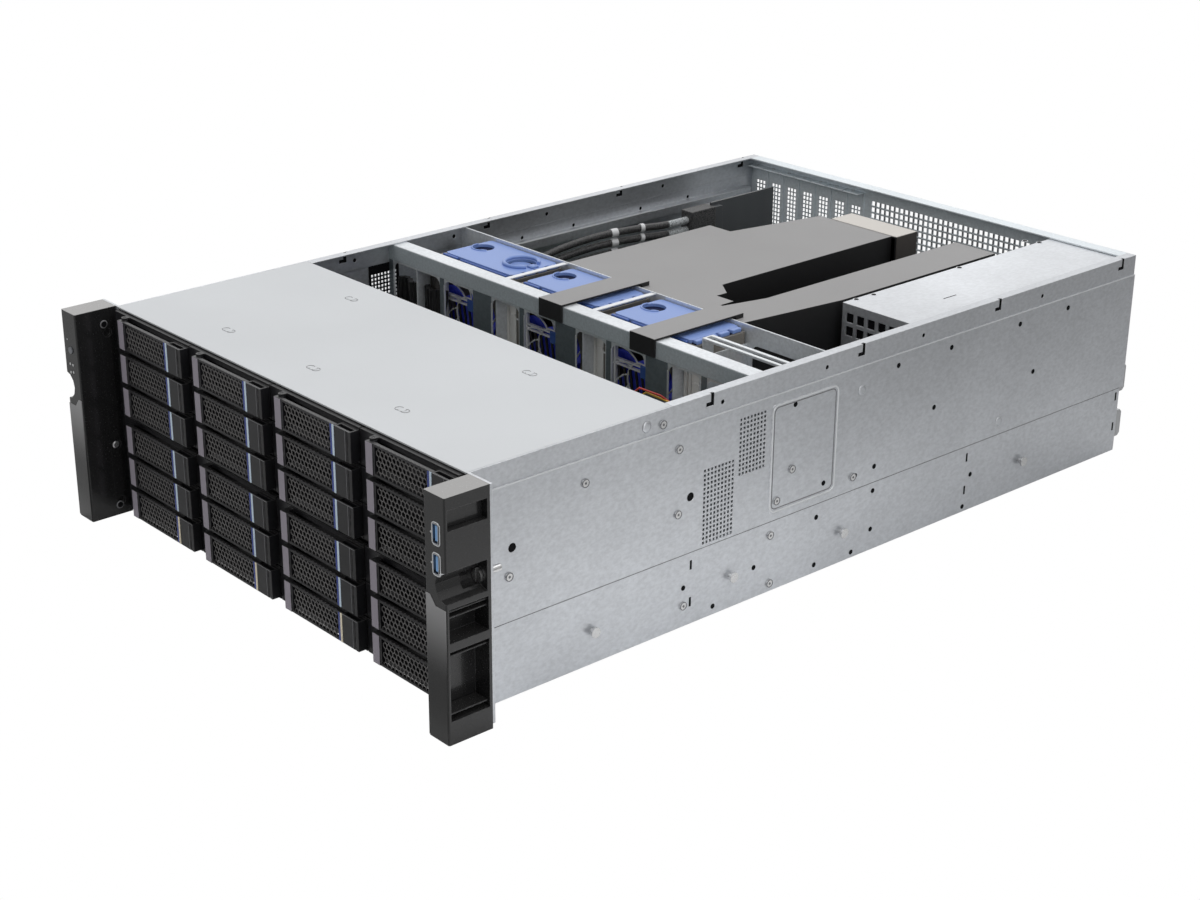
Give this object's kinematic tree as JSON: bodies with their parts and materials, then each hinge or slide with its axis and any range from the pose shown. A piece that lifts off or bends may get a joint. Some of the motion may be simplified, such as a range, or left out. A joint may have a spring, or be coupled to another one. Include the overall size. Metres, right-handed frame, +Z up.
{
  "type": "rack server",
  "caption": "Four-unit rack server chassis, rear cover off, with sliding drive carriers, swinging levers, spinning fans, an air duct and pull-out power supplies.",
  "frame": {"origin": "centre of the footprint of the whole server, on the plane its feet stand on", "axes": "+X to the right seen from the front, +Y from the front to the rear, +Z up"},
  "size_m": [0.4826, 0.7622, 0.1746],
  "materials": {
    "sheet_steel": "zinc-coated sheet steel, dull",
    "cover_paint": "pale satin coated steel",
    "ear_plastic": "black moulded plastic, satin",
    "button_plastic": "smooth grey plastic",
    "connector_shell": "plated connector shells",
    "circuit_board": "green circuit board",
    "heatsink_metal": "bare extruded aluminium",
    "memory_board": "green memory boards in black sockets",
    "fastener_steel": "plated steel screws and studs",
    "cable_sleeve": "black woven sleeve",
    "carrier_body": "black coated carrier round a cast drive",
    "lever_plastic": "dark moulded lever with a purple-grey end",
    "fan_plastic": "beige-grey moulded frame",
    "rotor_plastic": "dark blue rotor",
    "cap_plastic": "periwinkle blue touch part",
    "shroud_plastic": "grey textured plastic",
    "supply_case": "plated case of a power supply",
    "release_plastic": "moulded release lever"
  },
  "bodies": {
    "chassis": {"base_pan": "sheet_steel", "side_walls": "sheet_steel", "front_cover": "cover_paint", "rear_panel": "sheet_steel", "left_handle": "ear_plastic", "right_handle": "ear_plastic", "connectors": "connector_shell", "drive_cage": "sheet_steel", "backplane": "circuit_board", "fan_cage": "sheet_steel", "fan_module_2": "fan_plastic", "fan_module_3": "fan_plastic", "fan_cap_2": "cap_plastic", "fan_cap_3": "cap_plastic", "air_shroud": "shroud_plastic", "psu_cage": "sheet_steel", "main_board": "circuit_board", "heatsinks": "heatsink_metal", "memory_modules": "memory_board", "slot_covers": "sheet_steel", "fasteners": "fastener_steel", "cables": "cable_sleeve"},
    "carrier_1_1": {"carrier_row1_col1": "carrier_body"},
    "carrier_1_2": {"carrier_row1_col2": "carrier_body"},
    "carrier_1_3": {"carrier_row1_col3": "carrier_body"},
    "carrier_1_4": {"carrier_row1_col4": "carrier_body"},
    "carrier_2_1": {"carrier_row2_col1": "carrier_body"},
    "carrier_2_2": {"carrier_row2_col2": "carrier_body"},
    "carrier_2_3": {"carrier_row2_col3": "carrier_body"},
    "carrier_2_4": {"carrier_row2_col4": "carrier_body"},
    "carrier_3_1": {"carrier_row3_col1": "carrier_body"},
    "carrier_3_2": {"carrier_row3_col2": "carrier_body"},
    "carrier_3_3": {"carrier_row3_col3": "carrier_body"},
    "carrier_3_4": {"carrier_row3_col4": "carrier_body"},
    "carrier_4_1": {"carrier_row4_col1": "carrier_body"},
    "carrier_4_2": {"carrier_row4_col2": "carrier_body"},
    "carrier_4_3": {"carrier_row4_col3": "carrier_body"},
    "carrier_4_4": {"carrier_row4_col4": "carrier_body"},
    "carrier_5_1": {"carrier_row5_col1": "carrier_body"},
    "carrier_5_2": {"carrier_row5_col2": "carrier_body"},
    "carrier_5_3": {"carrier_row5_col3": "carrier_body"},
    "carrier_5_4": {"carrier_row5_col4": "carrier_body"},
    "carrier_6_1": {"carrier_row6_col1": "carrier_body"},
    "carrier_6_2": {"carrier_row6_col2": "carrier_body"},
    "carrier_6_3": {"carrier_row6_col3": "carrier_body"},
    "carrier_6_4": {"carrier_row6_col4": "carrier_body"},
    "lever_1_1": {"lever_row1_col1": "lever_plastic"},
    "lever_1_2": {"lever_row1_col2": "lever_plastic"},
    "lever_1_3": {"lever_row1_col3": "lever_plastic"},
    "lever_1_4": {"lever_row1_col4": "lever_plastic"},
    "fan_unit_1": {"fan_module_1": "fan_plastic", "fan_cap_1": "cap_plastic"},
    "rotor_1": {"fan_rotor_1": "rotor_plastic"},
    "rotor_2": {"fan_rotor_2": "rotor_plastic"},
    "rotor_3": {"fan_rotor_3": "rotor_plastic"},
    "supply_1": {"psu_module_1": "supply_case"},
    "supply_lever_1": {"psu_lever_1": "release_plastic"},
    "supply_2": {"psu_module_2": "supply_case"},
    "supply_lever_2": {"psu_lever_2": "release_plastic"},
    "button": {"power_button": "button_plastic"}
  },
  "joints": [
    {"name": "carrier_1_1_slide", "type": "slide", "parent": "chassis", "child": "carrier_1_1", "axis": [0, -1, 0], "range_m": [0, 0.15]},
    {"name": "carrier_1_2_slide", "type": "slide", "parent": "chassis", "child": "carrier_1_2", "axis": [0, -1, 0], "range_m": [0, 0.15]},
    {"name": "carrier_1_3_slide", "type": "slide", "parent": "chassis", "child": "carrier_1_3", "axis": [0, -1, 0], "range_m": [0, 0.15]},
    {"name": "carrier_1_4_slide", "type": "slide", "parent": "chassis", "child": "carrier_1_4", "axis": [0, -1, 0], "range_m": [0, 0.15]},
    {"name": "carrier_2_1_slide", "type": "slide", "parent": "chassis", "child": "carrier_2_1", "axis": [0, -1, 0], "range_m": [0, 0.15]},
    {"name": "carrier_2_2_slide", "type": "slide", "parent": "chassis", "child": "carrier_2_2", "axis": [0, -1, 0], "range_m": [0, 0.15]},
    {"name": "carrier_2_3_slide", "type": "slide", "parent": "chassis", "child": "carrier_2_3", "axis": [0, -1, 0], "range_m": [0, 0.15]},
    {"name": "carrier_2_4_slide", "type": "slide", "parent": "chassis", "child": "carrier_2_4", "axis": [0, -1, 0], "range_m": [0, 0.15]},
    {"name": "carrier_3_1_slide", "type": "slide", "parent": "chassis", "child": "carrier_3_1", "axis": [0, -1, 0], "range_m": [0, 0.15]},
    {"name": "carrier_3_2_slide", "type": "slide", "parent": "chassis", "child": "carrier_3_2", "axis": [0, -1, 0], "range_m": [0, 0.15]},
    {"name": "carrier_3_3_slide", "type": "slide", "parent": "chassis", "child": "carrier_3_3", "axis": [0, -1, 0], "range_m": [0, 0.15]},
    {"name": "carrier_3_4_slide", "type": "slide", "parent": "chassis", "child": "carrier_3_4", "axis": [0, -1, 0], "range_m": [0, 0.15]},
    {"name": "carrier_4_1_slide", "type": "slide", "parent": "chassis", "child": "carrier_4_1", "axis": [0, -1, 0], "range_m": [0, 0.15]},
    {"name": "carrier_4_2_slide", "type": "slide", "parent": "chassis", "child": "carrier_4_2", "axis": [0, -1, 0], "range_m": [0, 0.15]},
    {"name": "carrier_4_3_slide", "type": "slide", "parent": "chassis", "child": "carrier_4_3", "axis": [0, -1, 0], "range_m": [0, 0.15]},
    {"name": "carrier_4_4_slide", "type": "slide", "parent": "chassis", "child": "carrier_4_4", "axis": [0, -1, 0], "range_m": [0, 0.15]},
    {"name": "carrier_5_1_slide", "type": "slide", "parent": "chassis", "child": "carrier_5_1", "axis": [0, -1, 0], "range_m": [0, 0.15]},
    {"name": "carrier_5_2_slide", "type": "slide", "parent": "chassis", "child": "carrier_5_2", "axis": [0, -1, 0], "range_m": [0, 0.15]},
    {"name": "carrier_5_3_slide", "type": "slide", "parent": "chassis", "child": "carrier_5_3", "axis": [0, -1, 0], "range_m": [0, 0.15]},
    {"name": "carrier_5_4_slide", "type": "slide", "parent": "chassis", "child": "carrier_5_4", "axis": [0, -1, 0], "range_m": [0, 0.15]},
    {"name": "carrier_6_1_slide", "type": "slide", "parent": "chassis", "child": "carrier_6_1", "axis": [0, -1, 0], "range_m": [0, 0.15]},
    {"name": "carrier_6_2_slide", "type": "slide", "parent": "chassis", "child": "carrier_6_2", "axis": [0, -1, 0], "range_m": [0, 0.15]},
    {"name": "carrier_6_3_slide", "type": "slide", "parent": "chassis", "child": "carrier_6_3", "axis": [0, -1, 0], "range_m": [0, 0.15]},
    {"name": "carrier_6_4_slide", "type": "slide", "parent": "chassis", "child": "carrier_6_4", "axis": [0, -1, 0], "range_m": [0, 0.15]},
    {"name": "lever_1_1_swing", "type": "hinge", "parent": "carrier_1_1", "child": "lever_1_1", "pos_m": [-0.1958, -0.3503, 0.15895], "axis": [0, 0, -1], "range_deg": [0, 65]},
    {"name": "lever_1_2_swing", "type": "hinge", "parent": "carrier_1_2", "child": "lever_1_2", "pos_m": [-0.0881, -0.3503, 0.15895], "axis": [0, 0, -1], "range_deg": [0, 65]},
    {"name": "lever_1_3_swing", "type": "hinge", "parent": "carrier_1_3", "child": "lever_1_3", "pos_m": [0.0196, -0.3503, 0.15895], "axis": [0, 0, -1], "range_deg": [0, 65]},
    {"name": "lever_1_4_swing", "type": "hinge", "parent": "carrier_1_4", "child": "lever_1_4", "pos_m": [0.1273, -0.3503, 0.15895], "axis": [0, 0, -1], "range_deg": [0, 65]},
    {"name": "fan_unit_1_lift", "type": "slide", "parent": "chassis", "child": "fan_unit_1", "axis": [0, 0, 1], "range_m": [0, 0.16]},
    {"name": "rotor_1_spin", "type": "hinge", "parent": "fan_unit_1", "child": "rotor_1", "pos_m": [-0.131, -0.04663, 0.127], "axis": [0, 1, 0], "continuous": true},
    {"name": "rotor_2_spin", "type": "hinge", "parent": "chassis", "child": "rotor_2", "pos_m": [-0.0255, -0.04663, 0.127], "axis": [0, 1, 0], "continuous": true},
    {"name": "rotor_3_spin", "type": "hinge", "parent": "chassis", "child": "rotor_3", "pos_m": [0.08, -0.04663, 0.127], "axis": [0, 1, 0], "continuous": true},
    {"name": "supply_1_slide", "type": "slide", "parent": "chassis", "child": "supply_1", "axis": [0, 1, 0], "range_m": [0, 0.18]},
    {"name": "supply_lever_1_press", "type": "hinge", "parent": "supply_1", "child": "supply_lever_1", "pos_m": [0.2115, 0.3609, 0.0217], "axis": [0, 0, 1], "range_deg": [0, 12], "stiffness_Nm_per_rad": 0.05},
    {"name": "supply_2_slide", "type": "slide", "parent": "chassis", "child": "supply_2", "axis": [0, 1, 0], "range_m": [0, 0.18]},
    {"name": "supply_lever_2_press", "type": "hinge", "parent": "supply_2", "child": "supply_lever_2", "pos_m": [0.2115, 0.3609, 0.0631], "axis": [0, 0, 1], "range_deg": [0, 12], "stiffness_Nm_per_rad": 0.05},
    {"name": "power_button_press", "type": "slide", "parent": "chassis", "child": "button", "axis": [0, 1, 0], "range_m": [0, 0.0015], "stiffness_N_per_m": 300}
  ]
}
